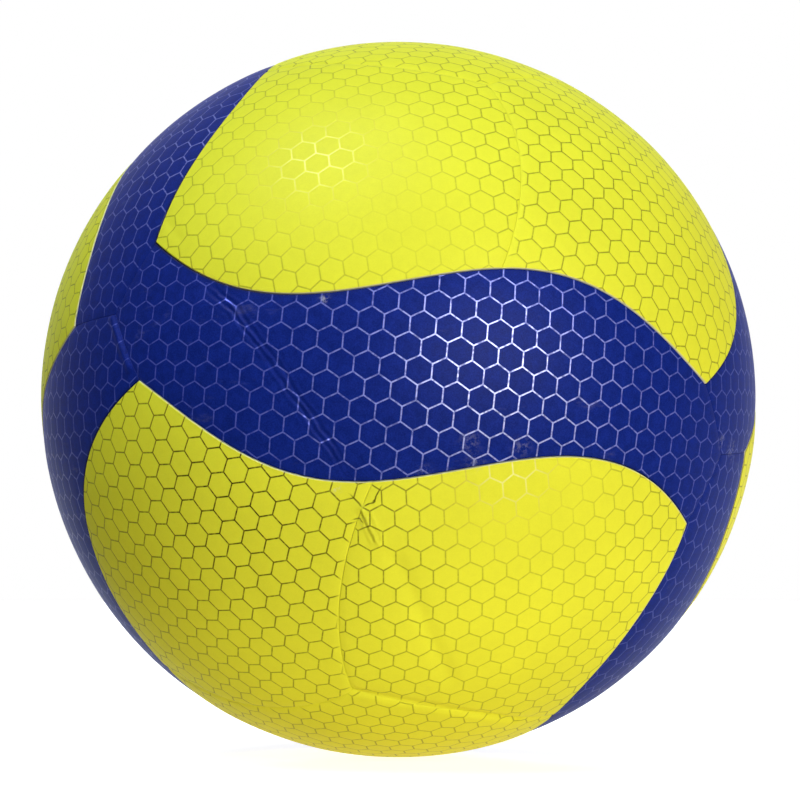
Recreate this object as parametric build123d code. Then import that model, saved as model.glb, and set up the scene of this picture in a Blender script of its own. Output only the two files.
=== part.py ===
from build123d import *
import math
import os

# A panel-covered volleyball, in millimetres and degrees. The origin is the centre of the ball, +Z is up,
# the middle of the front blue band faces -Y and the valve faces +Y.

# Layers, from the outside in.
BALL_DIAMETER = 210.0
PANEL_THICKNESS = 2.6
CARCASS_THICKNESS = 1.0
WINDING_THICKNESS = 0.6
BLADDER_THICKNESS = 0.8
GLUE_LINE = 0.12

# Seams between the cover panels, and the bevel that is skived on the panels' outer edges.
SEAM_WIDTH = 0.4
PANEL_BEVEL = 0.6

# The cover's pattern, as angles seen from the centre of the ball. A band's edge is a wave in latitude
# along the band, and every other edge is that one turned about the pattern's axes.
PATTERN_ROLL = 12.6
EDGE_LATITUDE = 12.4
EDGE_SWING = 6.2
EDGE_PERIOD = 91.6
EDGE_SHIFT = -6.8
SEAM_FOOT = 6.0
SEAM_BOW = 3.0
EDGE_POINTS = 9

# How finely a corner is searched for along an edge, and how far a panel's cone of sight passes its shell.
SEARCH_END = 1e-9
SIGHT_MARGIN = 0.05

# The valve: a rubber housing bonded inside the bladder, and a core that pulls out of it.
HOUSING_DIAMETER = 9.6
HOUSING_RECESS = 0.9
HOUSING_CLEARANCE = 0.2
FLANGE_DIAMETER = 26.0
FLANGE_THICKNESS = 1.6
HOUSING_WALL = 1.4
HOUSING_FLOOR = 1.8
OUTLET_DIAMETER = 2.0
CORE_HEAD_DIAMETER = 7.4
CORE_HEAD_THICKNESS = 1.4
CORE_DIAMETER = 5.6
CORE_TIP_DIAMETER = 4.4
CORE_LENGTH = 18.0
CORE_CLEARANCE = 0.15
CORE_TIP_ROUND = 1.2
NEEDLE_DIAMETER = 1.8
NEEDLE_DEPTH = 13.0
NEEDLE_LEAD_IN = 0.8

# Radii and angles that follow from these sizes.
BALL_RADIUS = BALL_DIAMETER / 2
PANEL_INNER = BALL_RADIUS - PANEL_THICKNESS
CARCASS_OUTER = PANEL_INNER - GLUE_LINE
CARCASS_INNER = CARCASS_OUTER - CARCASS_THICKNESS
WINDING_OUTER = CARCASS_INNER - GLUE_LINE
WINDING_INNER = WINDING_OUTER - WINDING_THICKNESS
BLADDER_OUTER = WINDING_INNER - GLUE_LINE
BLADDER_INNER = BLADDER_OUTER - BLADDER_THICKNESS
FLANGE_OUTER = BLADDER_INNER - GLUE_LINE
HOLE_RADIUS = HOUSING_DIAMETER / 2 + HOUSING_CLEARANCE
HALF_SEAM = math.degrees(SEAM_WIDTH / 2 / BALL_RADIUS)
THIRD_TURN = 360.0 / 3
CORNER_SETBACK = HALF_SEAM / math.sin(math.radians(THIRD_TURN / 2))

# The pattern's axes: three bands meet at a junction, and three yellow panels at a face centre.
AXIS_ANGLE = math.degrees(math.acos(1 / math.sqrt(3)))
BALL_CENTRE = Vector(0, 0, 0)
BAND_CENTRE = Vector(0, -1, 0)
BAND_ALONG = Vector(1, 0, 0)


def on_ball(longitude, latitude):
    """Direction from the centre of the ball, by longitude and latitude of the front band."""
    lon = math.radians(longitude)
    lat = math.radians(latitude)
    return Vector(math.cos(lat) * math.sin(lon), -math.cos(lat) * math.cos(lon), math.sin(lat))


def turned(direction, axis, angle):
    """The direction turned about an axis through the centre of the ball."""
    return direction.rotate(Axis(BALL_CENTRE, axis), angle)


def longitude_of(direction):
    return math.degrees(math.atan2(direction.X, -direction.Y))


def latitude_of(direction):
    return math.degrees(math.asin(direction.Z))


def edge_latitude(longitude):
    """Latitude of the front band's upper edge."""
    phase = 2 * math.pi * (longitude - EDGE_SHIFT) / EDGE_PERIOD
    return EDGE_LATITUDE + EDGE_SWING * math.sin(phase)


def edge_at(longitude, lift):
    """Point on the front band's upper edge, raised by a small angle."""
    return on_ball(longitude, edge_latitude(longitude) + lift)


def moved(start, towards, angle):
    """The direction start, moved by an angle along the great circle to another direction."""
    return turned(start, start.cross(towards), angle)


def crossing(side, low, high):
    """Longitude between low and high where the function side changes sign."""
    starts_negative = side(low) < 0
    while high - low > SEARCH_END:
        middle = (low + high) / 2
        if (side(middle) < 0) == starts_negative:
            low = middle
        else:
            high = middle
    return (low + high) / 2


TOP_FACE = on_ball(0, AXIS_ANGLE)
LEFT_JUNCTION = on_ball(-AXIS_ANGLE, 0)
RIGHT_JUNCTION = on_ball(AXIS_ANGLE, 0)


def tip_longitude(lift):
    """Longitude where the edge runs into the next edge round the same yellow face."""

    def above_next_edge(longitude):
        point = turned(edge_at(longitude, lift), TOP_FACE, -THIRD_TURN)
        return latitude_of(point) - edge_latitude(longitude_of(point)) - lift

    return crossing(above_next_edge, AXIS_ANGLE - EDGE_PERIOD / 5, AXIS_ANGLE)


def start_longitude(lift):
    """Longitude where the edge begins, at the tip before it round the same yellow face."""
    tip = edge_at(tip_longitude(lift), lift)
    return longitude_of(turned(tip, TOP_FACE, -THIRD_TURN))


def edge_points(first, last, lift):
    """Points along the edge between two longitudes."""
    step = (last - first) / (EDGE_POINTS - 1)
    return [edge_at(first + i * step, lift) for i in range(EDGE_POINTS)]


def seam_between(junction, tip, near):
    """Longitude near a tip where the band's edge meets half a seam's width from the junction's seam."""
    normal = junction.cross(tip).normalized()
    if normal.dot(BAND_CENTRE) < 0:
        normal = -normal
    clear = math.sin(math.radians(HALF_SEAM))
    reach = EDGE_PERIOD / 20

    def past_seam(longitude):
        return normal.dot(edge_at(longitude, -HALF_SEAM)) - clear

    return crossing(past_seam, near - reach, near + reach)


def band_outline():
    """Corners and edges of the front blue band: a list of point lists, one for each side in turn."""
    first_tip = start_longitude(0)
    last_tip = tip_longitude(0)
    first = seam_between(LEFT_JUNCTION, edge_at(first_tip, 0), first_tip)
    last = seam_between(RIGHT_JUNCTION, edge_at(last_tip, 0), last_tip)
    upper = edge_points(first, last, -HALF_SEAM)
    lower = [turned(point, BAND_CENTRE, 180) for point in upper]
    right = moved(RIGHT_JUNCTION, BAND_CENTRE, CORNER_SETBACK)
    left = moved(LEFT_JUNCTION, BAND_CENTRE, CORNER_SETBACK)
    return [upper, [upper[-1], right], [right, lower[0]], lower, [lower[-1], left], [left, upper[0]]]


def seam_arc(side):
    """Chord's middle, arc's middle and foot of the seam that runs down from the top face, moved sideways."""
    foot = edge_at(SEAM_FOOT + side, HALF_SEAM)
    chord_middle = (TOP_FACE + foot).normalized()
    sideways = TOP_FACE.cross(foot)
    return chord_middle, moved(chord_middle, sideways, SEAM_BOW + side), foot


def yellow_outline():
    """Corners and edges of the yellow panel between two seams of the top face, as for a band."""
    tip = tip_longitude(HALF_SEAM)
    start = start_longitude(HALF_SEAM)
    chord_middle, near_middle, near_foot = seam_arc(HALF_SEAM)
    far_middle, far_foot = [turned(p, TOP_FACE, THIRD_TURN) for p in seam_arc(-HALF_SEAM)[1:]]
    corner_way = turned(chord_middle, TOP_FACE, THIRD_TURN / 2)
    corner = moved(TOP_FACE, corner_way, CORNER_SETBACK)
    near_edge = edge_points(SEAM_FOOT + HALF_SEAM, tip, HALF_SEAM)
    far_edge = [
        turned(p, TOP_FACE, THIRD_TURN) for p in edge_points(start, SEAM_FOOT - HALF_SEAM, HALF_SEAM)
    ]
    far_edge[0] = near_edge[-1]
    return [
        [corner, near_middle, near_foot],
        near_edge,
        far_edge,
        [far_foot, far_middle, corner],
    ]


def flat_face(outline, centre, distance):
    """The outline seen from the centre of the ball on a flat sheet at a distance from it."""
    sides = []
    for points in outline:
        flat = [point * (distance / point.dot(centre)) for point in points]
        if len(flat) == 2:
            sides.append(Line(*flat))
        elif len(flat) == 3:
            sides.append(ThreePointArc(*flat))
        else:
            sides.append(Spline(*flat))
    return make_face(sides)


def layer(outer, inner):
    """A hollow sphere between two radii."""
    return Sphere(outer) - Sphere(inner)


def panel(outline, centre):
    """A cover panel: the shell inside a cone of sight through the outline, with its outer edge bevelled."""
    widest = min(point.dot(centre) for points in outline for point in points)
    near = flat_face(outline, centre, PANEL_INNER * widest * (1 - SIGHT_MARGIN))
    far = flat_face(outline, centre, BALL_RADIUS * (1 + SIGHT_MARGIN))
    sight = loft([near, far], ruled=True)
    seam_away = Plane(BALL_CENTRE, x_dir=-centre, z_dir=centre.cross(BAND_ALONG))
    shell = seam_away * layer(BALL_RADIUS, PANEL_INNER)
    body = (sight & shell).solids()[0]
    rim = body.edges().filter_by(lambda edge: (edge @ 0.5).length > BALL_RADIUS - PANEL_THICKNESS / 10)
    return chamfer(rim, PANEL_BEVEL)


def along_valve(radius, bottom, top):
    """A round bar on the valve's axis between two distances from the centre of the ball."""
    return Pos(0, (bottom + top) / 2, 0) * Rot(-90, 0, 0) * Cylinder(radius, top - bottom)


def revolved_on_valve(profile):
    """A solid of revolution about the valve's axis from points of radius and distance from the centre."""
    return revolve(make_face(Polyline(*profile, close=True)), Axis.Y)


CORE_TOP = BALL_RADIUS - HOUSING_RECESS
CORE_SHOULDER = CORE_TOP - CORE_HEAD_THICKNESS
CORE_TIP = CORE_TOP - CORE_LENGTH
HOUSING_BOTTOM = CORE_TIP - CORE_CLEARANCE - HOUSING_FLOOR


def valve_core():
    """The self-sealing plug: a flat head, a tapered stem and a blind needle channel with a lead-in."""
    head = CORE_HEAD_DIAMETER / 2
    stem = CORE_DIAMETER / 2
    tip = CORE_TIP_DIAMETER / 2
    needle = NEEDLE_DIAMETER / 2
    body = revolved_on_valve(
        [
            (0, CORE_TIP),
            (tip, CORE_TIP),
            (stem, CORE_SHOULDER),
            (head, CORE_SHOULDER),
            (head, CORE_TOP),
            (0, CORE_TOP),
        ]
    )
    body = fillet(body.edges().sort_by(Axis.Y)[0], CORE_TIP_ROUND)
    channel = along_valve(needle, CORE_TOP - NEEDLE_DEPTH, BALL_RADIUS)
    lead_in_end = CORE_TOP - NEEDLE_LEAD_IN
    lead_in = revolved_on_valve(
        [(0, lead_in_end), (needle, lead_in_end), (needle + NEEDLE_LEAD_IN, CORE_TOP), (0, CORE_TOP)]
    )
    return body - channel - lead_in


def valve_housing():
    """The rubber boot: a flange inside the bladder and a stem with the core's seat and an air outlet."""
    stem = HOUSING_DIAMETER / 2
    seat = CORE_HEAD_DIAMETER / 2 + CORE_CLEARANCE
    bore = CORE_DIAMETER / 2 + CORE_CLEARANCE
    bore_end = CORE_TIP_DIAMETER / 2 + CORE_CLEARANCE
    nose = bore_end + HOUSING_WALL
    flange_zone = along_valve(FLANGE_DIAMETER / 2, BLADDER_INNER / 2, BALL_RADIUS)
    flange = layer(FLANGE_OUTER, FLANGE_OUTER - FLANGE_THICKNESS) & flange_zone
    flange_bottom = FLANGE_OUTER - FLANGE_THICKNESS - HOUSING_WALL
    boot = revolved_on_valve(
        [(0, HOUSING_BOTTOM), (nose, HOUSING_BOTTOM), (stem, flange_bottom), (stem, CORE_TOP), (0, CORE_TOP)]
    )
    core_space = revolved_on_valve(
        [
            (0, CORE_TIP - CORE_CLEARANCE),
            (bore_end, CORE_TIP - CORE_CLEARANCE),
            (bore, CORE_SHOULDER),
            (seat, CORE_SHOULDER),
            (seat, BALL_RADIUS),
            (0, BALL_RADIUS),
        ]
    )
    outlet = along_valve(OUTLET_DIAMETER / 2, HOUSING_BOTTOM - HOUSING_FLOOR, BALL_RADIUS)
    return boot + flange - core_space - outlet


def with_valve_hole(body):
    """A layer with the hole that the valve housing passes through."""
    return body - along_valve(HOLE_RADIUS, BLADDER_INNER / 2, BALL_DIAMETER)


def turn_solid(body, turns):
    """A solid turned about a list of pattern axes in order, then rolled with the whole pattern."""
    for axis, angle in turns:
        body = body.rotate(Axis(BALL_CENTRE, axis), angle)
    return body.rotate(Axis.Y, PATTERN_ROLL)


BAND_TURNS = {
    "blue_front": [],
    "blue_upper_left": [(LEFT_JUNCTION, THIRD_TURN)],
    "blue_lower_left": [(LEFT_JUNCTION, -THIRD_TURN)],
    "blue_upper_right": [(RIGHT_JUNCTION, -THIRD_TURN)],
    "blue_lower_right": [(RIGHT_JUNCTION, THIRD_TURN)],
    "blue_back": [(Vector(1, 0, 1), 180)],
}

FACE_TURNS = {
    "yellow_top": [],
    "yellow_bottom": [(BAND_CENTRE, 180)],
    "yellow_left": [(LEFT_JUNCTION, THIRD_TURN)],
    "yellow_right": [(RIGHT_JUNCTION, -THIRD_TURN)],
}

PANELS_PER_FACE = 3


def build_nodes():
    """Every piece of the ball by name."""
    nodes = {}
    band = panel(band_outline(), BAND_CENTRE)
    for name, turns in BAND_TURNS.items():
        nodes[name] = turn_solid(band, turns)
    nodes["blue_back"] = with_valve_hole(nodes["blue_back"])

    outline = yellow_outline()
    middle = (outline[0][0] + outline[1][0] + outline[2][-1] + outline[1][-1]).normalized()
    yellow = panel(outline, middle)
    for face, turns in FACE_TURNS.items():
        for i in range(PANELS_PER_FACE):
            about_face = [(TOP_FACE, i * THIRD_TURN)]
            nodes[f"{face}_{i + 1}"] = turn_solid(yellow, about_face + turns)

    nodes["rubber_carcass"] = with_valve_hole(layer(CARCASS_OUTER, CARCASS_INNER))
    nodes["thread_winding"] = with_valve_hole(layer(WINDING_OUTER, WINDING_INNER))
    nodes["bladder"] = with_valve_hole(layer(BLADDER_OUTER, BLADDER_INNER))
    nodes["valve_housing"] = valve_housing()
    nodes["valve_core"] = valve_core()
    return nodes


os.makedirs("parts", exist_ok=True)
for node, body in build_nodes().items():
    export_step(body, f"parts/{node}.step")
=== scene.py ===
import math

import bpy
import numpy as np
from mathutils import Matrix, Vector, noise


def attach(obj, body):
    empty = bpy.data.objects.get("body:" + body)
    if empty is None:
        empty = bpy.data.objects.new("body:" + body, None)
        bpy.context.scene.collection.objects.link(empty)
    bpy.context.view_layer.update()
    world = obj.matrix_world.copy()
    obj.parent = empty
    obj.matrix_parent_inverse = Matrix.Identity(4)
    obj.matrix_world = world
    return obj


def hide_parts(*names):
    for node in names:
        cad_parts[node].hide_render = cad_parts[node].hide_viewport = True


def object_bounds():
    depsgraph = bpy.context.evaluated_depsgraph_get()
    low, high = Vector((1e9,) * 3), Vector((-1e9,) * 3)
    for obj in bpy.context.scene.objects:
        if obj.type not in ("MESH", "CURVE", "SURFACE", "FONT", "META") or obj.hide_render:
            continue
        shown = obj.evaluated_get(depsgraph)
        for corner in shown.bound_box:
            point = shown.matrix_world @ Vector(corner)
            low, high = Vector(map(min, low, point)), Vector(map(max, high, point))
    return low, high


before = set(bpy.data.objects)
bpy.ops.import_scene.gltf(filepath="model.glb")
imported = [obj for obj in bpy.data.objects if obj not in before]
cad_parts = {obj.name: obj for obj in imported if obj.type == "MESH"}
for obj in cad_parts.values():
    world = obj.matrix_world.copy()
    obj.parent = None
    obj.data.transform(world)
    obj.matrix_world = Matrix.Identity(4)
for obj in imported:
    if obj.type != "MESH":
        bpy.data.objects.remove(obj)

bl_info = {
    "name": "Panel Volleyball",
    "version": (1, 0, 0),
    "blender": (4, 5, 0),
    "location": "View3D > Sidebar > Ball",
    "description": "Dresses the packed volleyball with cover panels, rubber and thread, and sets up a studio",
    "category": "Add Mesh",
}

CAD_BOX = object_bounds()
BALL_RADIUS = max(max(CAD_BOX[1]), -min(CAD_BOX[0]))
BODY = "ball"
MM = 0.001

# The cover's pattern, in degrees seen from the centre of the ball, as the solids have it.
PATTERN_ROLL = 12.6
EDGE_LATITUDE = 12.4
EDGE_SWING = 6.2
EDGE_PERIOD = 91.6
EDGE_SHIFT = -6.8
SEAM_FOOT = 6.0
SEAM_BOW = 3.0
THIRD_TURN = 120.0
AXIS_ANGLE = math.degrees(math.acos(1 / math.sqrt(3)))

# How finely a corner is searched for along an edge, in degrees, and what stands for nothing and for far away.
SEARCH_END = 1e-9
TINY = 1e-12
FAR_MM = 99.0

# A panel's mesh: its rows beside an edge, the points that stand for a side when distances are measured, the
# names of those distances, the rough sizes of the panels, which set the number of rows, and the angle up to
# which neighbouring faces look smooth.
EDGE_ROWS_MM = (0.0, 0.07, 0.15, 0.25, 0.38, 0.55, 0.8, 1.2, 1.8, 2.6)
SIDE_SAMPLES = 400
SIDE_LABELS = ("bottom_mm", "top_mm", "left_mm", "right_mm")
BAND_LENGTH_MM = 190.0
BAND_WIDTH_MM = 47.0
YELLOW_SIDE_MM = 72.0
SMOOTH_ANGLE = 50.0

# The cover's relief: the size of its soft lumps and where their pattern starts, the depth of a joint between
# bands as a share of one between yellow panels, how the valley of a joint curves, how far the dip round the
# valve reaches, and the tool that cuts the valve's hole.
SWELL_SIZE_MM = 22.0
SWELL_SEED = 3.0
BAND_JOINT_DEPTH = 0.5
VALLEY_CURVE = 1.6
VALVE_DIP_REACH_MM = 3.0
HOLE_CUTTER_SIDES = 64
HOLE_CUTTER_LENGTH = 0.03

# The floor under the ball.
FLOOR_RADIUS = 6.0
FLOOR_GAP = 0.0002

# Each panel is cut from its own place on a printed sheet: the turn of the honeycomb's rows from the panel's
# long axis in degrees, and the place of one cell's centre from the middle of the panel in mm.
SHEETS = {
    "blue_front": (7.0, 1.2, 0.3),
    "blue_upper_left": (7.0, -5.9, -3.6),
    "blue_lower_left": (6.0, -1.7, 4.6),
    "blue_lower_right": (4.0, -3.2, 3.7),
    "yellow_top_1": (-17.0, -3.6, 1.3),
    "yellow_top_2": (-11.0, 3.7, 2.3),
    "yellow_top_3": (-17.0, -2.3, -1.5),
    "yellow_bottom_1": (-17.0, 4.1, 3.6),
    "yellow_bottom_2": (-8.0, 0.3, -2.4),
    "yellow_bottom_3": (-16.0, 6.3, 6.7),
}
BAND_SHEET = (7.0, 0.0, 0.0)
YELLOW_SHEET = (-17.0, 0.0, 0.0)

# Lines on the cover, by points of longitude and latitude on the front band: the long crease across that band,
# the pucker below its end, and the shallow seam near the bottom.
FRONT_CREASE = (
    (-37.3, 6.0), (-31.6, 3.0), (-27.2, -0.6), (-23.5, -3.7), (-20.4, -7.0), (-17.1, -9.7), (-13.8, -12.8),
    (-9.9, -16.9),
)
PUCKER = ((-6.8, -21.4), (-5.3, -23.2), (-3.1, -26.0))
LOWER_SEAM = (
    (0.1, -54.5), (5.8, -54.3), (12.4, -54.2), (20.5, -53.8), (29.6, -53.7), (40.3, -53.3), (50.0, -53.2),
)

# Creases in the cover, each by its line, then depth and width in mm. A depth below zero is a fold that
# stands up.
CREASES = (
    (FRONT_CREASE, 0.22, 2.6),
    (PUCKER, -0.85, 1.1),
    (((-10.8, -19.9), (-8.4, -20.9)), 0.2, 0.9),
    (((-26.1, -28.6), (-23.9, -35.5), (-21.6, -43.1)), 0.16, 2.0),
    (((0.2, -28.0), (4.1, -32.2), (8.9, -37.6), (15.1, -43.4), (20.0, -47.1)), 0.8, 2.4),
    (LOWER_SEAM, 0.75, 1.5),
    (((-49.6, 15.0), (-45.3, 12.3)), 0.25, 1.0),
    (((-55.3, -0.7), (-52.0, -4.4), (-49.1, -7.7)), -0.6, 0.9),
)

# Fine ripples along a crease and cracks in the skin, each by its line, then reach in mm and strength. A line
# weakens towards its ends at a rate, down to a share that is left. Each of the cracks is darkened in its
# colour, as painted shade inside it, and pressed in by a bump.
RIPPLE_PERIOD_MM = 1.9
RIPPLES = ((FRONT_CREASE, 2.2, 0.15), (PUCKER, 1.3, 0.3))
CRACKS = (
    (((-8.9, -19.7), (-6.7, -21.2)), 0.8, 0.7),
    (((-6.7, -21.1), (-5.8, -20.4), (-5.1, -20.2), (-5.1, -19.2), (-4.6, -17.6)), 0.8, 1.0),
    (((-7.8, -23.3), (-6.8, -22.9), (-6.0, -23.5)), 0.8, 0.8),
)
LINE_FADE = 6.0
LINE_END = 0.2

# Stretches of border where a dark line of painted shade stands for the shadow in the gap, by longitude,
# latitude and reach in degrees, and how dark that painted shade is there.
RIGHT_BORDER = (72.0, -8.0, 14.0)
UPPER_LEFT_BORDER = (-51.0, 17.0, 8.0)
LOWER_LEFT_BORDER = (-60.0, -24.0, 14.0)
PAINTED_GAP_SHADE = ((*RIGHT_BORDER, 1.0), (*UPPER_LEFT_BORDER, 0.8), (*LOWER_LEFT_BORDER, 0.8))

# Spots where the skin is rubbed pale: longitude, latitude, reach in mm and strength.
RUBBED = (
    (53.9, 2.0, 2.0, 0.2), (58.5, 1.3, 2.4, 0.3), (1.1, -14.2, 1.6, 0.22), (6.4, -8.5, 2.2, 0.2),
    (8.0, -11.2, 2.0, 0.25), (14.1, -7.4, 2.0, 0.22), (-18.6, 6.9, 0.9, 0.9), (-11.1, -19.3, 0.9, 0.8),
    (-6.0, -23.2, 0.8, 1.0),
)

# The cut edge that shows along a border: its greatest and least width in mm, the share of the greatest that
# shows everywhere, and where more or less shows, by longitude, latitude, reach in degrees and change. These
# spots are painted light: on the yellow panels the pale edge is wider where it catches the light, as a
# painted highlight, and narrower where it lies in shade; on the bands the dark edge is widened into painted
# shade in the gap.
CUT_WIDEST_MM = 3.0
CUT_NARROWEST_MM = 0.01
CUT_EDGE = 0.073
YELLOW_CUT_LIGHT_SPOTS = (
    (50.0, -24.0, 20.0, 0.2), (72.0, -10.0, 14.0, -0.27), (*UPPER_LEFT_BORDER, -0.1),
    (*LOWER_LEFT_BORDER, -0.1), (-40.0, -12.0, 14.0, -0.03),
)
BLUE_CUT_SHADE_SPOTS = (
    (*RIGHT_BORDER, 0.3), (*UPPER_LEFT_BORDER, 0.2), (*LOWER_LEFT_BORDER, 0.2), (-40.0, 22.0, 14.0, 0.15),
    (-24.0, 8.0, 16.0, 0.1),
)

# The honeycomb's foil: a painted highlight that stands for the lamps' reflection in the foil, and how much of
# the foil is left, everywhere and round spots, by longitude, latitude, reach in degrees and change. What is
# left on the yellow panels is painted light and shade as well: the lines fade where the foil catches the
# light and show darker away from it. It fades out beside a band's ends and a yellow panel's two seams.
BLUE_PAINTED_GLEAM = 0.05
BLUE_PAINTED_GLEAM_SPOTS = (
    (11.0, -1.0, 24.0, 0.68), (-8.0, 6.0, 16.0, 0.14), (-52.0, 27.0, 14.0, 0.35), (120.0, 30.0, 30.0, 0.5),
    (180.0, -5.0, 26.0, 0.7), (-125.0, -30.0, 30.0, 0.5),
)
YELLOW_PAINTED_GLEAM_SPOTS = ((-27.0, 28.5, 11.0, 1.0), (14.0, -11.5, 9.0, 1.0), (170.0, 40.0, 16.0, 0.7))
BLUE_FOIL = 0.95
YELLOW_FOIL = 0.55
YELLOW_FOIL_LIGHT_AND_SHADE_SPOTS = (
    (-28.0, -24.0, 22.0, 0.45), (30.0, -36.0, 20.0, -0.22), (23.0, -11.0, 11.0, -0.35),
    (-26.0, 32.0, 21.0, -0.4), (-6.0, 18.0, 12.0, -0.35), (-27.0, 20.0, 10.0, -0.15),
    (22.0, 36.0, 20.0, 0.12), (-27.0, 28.5, 8.0, 0.36), (13.5, -12.0, 6.5, 0.38), (12.0, -17.5, 7.0, -0.3),
)
BAND_END_FADE_MM = 0.6
NEAR_SEAM_FADE_MM = 1.3
FAR_SEAM_FADE_MM = 0.3


class CoverSettings(bpy.types.PropertyGroup):
    """Sizes and colours of the ball's cover."""

    panel_thickness: bpy.props.FloatProperty(
        name="Panel thickness", description="Skin and foam of one panel",
        default=0.0026, unit="LENGTH",
    )
    border_gap: bpy.props.FloatProperty(
        name="Border gap", description="Open width between a band and a yellow panel",
        default=0.00018, unit="LENGTH",
    )
    joint_gap: bpy.props.FloatProperty(
        name="Joint gap", description="Open width between two panels of one colour",
        default=0.00005, unit="LENGTH",
    )
    border_round: bpy.props.FloatProperty(
        name="Border round", description="Rounding of a cut edge at a border",
        default=0.00036, unit="LENGTH",
    )
    joint_round: bpy.props.FloatProperty(
        name="Joint round", description="Rounding of a cut edge at a joint",
        default=0.0001, unit="LENGTH",
    )
    border_dip: bpy.props.FloatProperty(
        name="Border dip", description="How far the cover sinks towards a border",
        default=0.00015, unit="LENGTH",
    )
    border_reach: bpy.props.FloatProperty(
        name="Border reach", description="Where the cover starts to sink to a border",
        default=0.0035, unit="LENGTH",
    )
    joint_dip: bpy.props.FloatProperty(
        name="Joint dip", description="Depth of the valley along a joint",
        default=0.0003, unit="LENGTH",
    )
    joint_reach: bpy.props.FloatProperty(
        name="Joint reach", description="Half width of the valley along a joint",
        default=0.0021, unit="LENGTH",
    )
    blue_step: bpy.props.FloatProperty(
        name="Blue step", description="How much lower the blue bands lie",
        default=0.0002, unit="LENGTH",
    )
    swell: bpy.props.FloatProperty(
        name="Unevenness", description="Soft lumps of the hand-laid cover",
        default=0.00012, unit="LENGTH",
    )
    valve_hole: bpy.props.FloatProperty(
        name="Valve hole", description="Diameter of the hole for the valve",
        default=0.01, unit="LENGTH",
    )
    valve_dip: bpy.props.FloatProperty(
        name="Valve dip", description="How far the cover sinks round the valve",
        default=0.0004, unit="LENGTH",
    )
    mesh_step: bpy.props.FloatProperty(
        name="Mesh step", description="Distance between the points of a panel",
        default=0.0008, unit="LENGTH",
    )
    blue_pitch: bpy.props.FloatProperty(
        name="Blue pitch", description="From one cell of the bands to the next",
        default=0.0068, unit="LENGTH",
    )
    yellow_pitch: bpy.props.FloatProperty(
        name="Yellow pitch", description="From one cell of the panels to the next",
        default=0.0066, unit="LENGTH",
    )
    line_width: bpy.props.FloatProperty(
        name="Line width", description="Width of a honeycomb line",
        default=0.0004, unit="LENGTH",
    )
    blue: bpy.props.FloatVectorProperty(
        name="Blue skin", description="Colour of the bands",
        subtype="COLOR", size=4, default=(0.006, 0.02, 0.225, 1.0),
    )
    yellow: bpy.props.FloatVectorProperty(
        name="Yellow skin", description="Colour of the panels",
        subtype="COLOR", size=4, default=(0.88, 0.88, 0.048, 1.0),
    )
    foil_on_blue: bpy.props.FloatVectorProperty(
        name="Lines on blue", description="Foil colour on the bands",
        subtype="COLOR", size=4, default=(0.035, 0.058, 0.38, 1.0),
    )
    foil_on_yellow: bpy.props.FloatVectorProperty(
        name="Lines on yellow", description="Foil colour on the panels",
        subtype="COLOR", size=4, default=(0.035, 0.027, 0.002, 1.0),
    )
    # Painted highlight: foil lines coloured as if they half reflected a lamp.
    half_painted_gleam_on_blue: bpy.props.FloatVectorProperty(
        name="Half gleam on blue", description="Foil on the bands where it gleams a little",
        subtype="COLOR", size=4, default=(0.22, 0.25, 0.66, 1.0),
    )
    half_painted_gleam_on_yellow: bpy.props.FloatVectorProperty(
        name="Half gleam on yellow", description="Foil on the panels where it gleams a little",
        subtype="COLOR", size=4, default=(0.62, 0.52, 0.06, 1.0),
    )
    # Painted highlight: foil lines coloured as if they fully reflected a lamp.
    painted_gleam_on_blue: bpy.props.FloatVectorProperty(
        name="Gleam on blue", description="Foil on the bands where it gleams",
        subtype="COLOR", size=4, default=(0.58, 0.6, 0.78, 1.0),
    )
    painted_gleam_on_yellow: bpy.props.FloatVectorProperty(
        name="Gleam on yellow", description="Foil on the panels where it gleams",
        subtype="COLOR", size=4, default=(0.97, 0.93, 0.5, 1.0),
    )
    # Pale foam at a yellow panel's cut edge; where its strip is widened, it is a painted highlight on the lit
    # edge.
    yellow_edge: bpy.props.FloatVectorProperty(
        name="Yellow cut edge", description="Foam that shows at a yellow panel's edge",
        subtype="COLOR", size=4, default=(0.85, 0.85, 0.62, 1.0),
    )
    # Near-black backing at a band's cut edge, widened along some borders into painted shade in the gap.
    blue_edge_and_gap_shade: bpy.props.FloatVectorProperty(
        name="Blue cut edge", description="Backing that shows at a band's edge",
        subtype="COLOR", size=4, default=(0.006, 0.008, 0.04, 1.0),
    )


class StageSettings(bpy.types.PropertyGroup):
    """Camera and light."""

    distance: bpy.props.FloatProperty(
        name="Camera distance", description="From the ball's centre",
        default=0.8057, unit="LENGTH",
    )
    azimuth: bpy.props.FloatProperty(
        name="Camera azimuth", description="Turn of the camera about the ball",
        default=math.radians(-5.87), subtype="ANGLE",
    )
    elevation: bpy.props.FloatProperty(
        name="Camera elevation", description="Height of the camera as an angle",
        default=math.radians(-3.81), subtype="ANGLE",
    )
    lens: bpy.props.FloatProperty(
        name="Lens", description="Focal length in mm", default=122.5, unit="CAMERA"
    )
    shift: bpy.props.FloatVectorProperty(
        name="Shift", description="Lens shift that frames the ball", size=2, default=(0.0016, -0.0005)
    )
    top_strength: bpy.props.FloatProperty(
        name="Top light", description="Strength from above", default=1.87
    )
    front_strength: bpy.props.FloatProperty(
        name="Front light", description="Strength from the front", default=2.58
    )
    back_strength: bpy.props.FloatProperty(
        name="Back light", description="Strength from behind", default=2.2
    )
    top_shine: bpy.props.FloatProperty(
        name="Top shine", description="Reflected lamp above", default=9.0
    )
    front_shine: bpy.props.FloatProperty(
        name="Front shine", description="Reflected lamp in front", default=8.0
    )
    floor_glow: bpy.props.FloatProperty(
        name="Floor glow", description="Light thrown up by the table", default=0.42
    )
    ambient: bpy.props.FloatProperty(
        name="Ambient", description="Light from all round", default=0.04
    )


def unit(vectors):
    """Vectors at length one."""
    return vectors / np.linalg.norm(vectors, axis=-1, keepdims=True)


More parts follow.
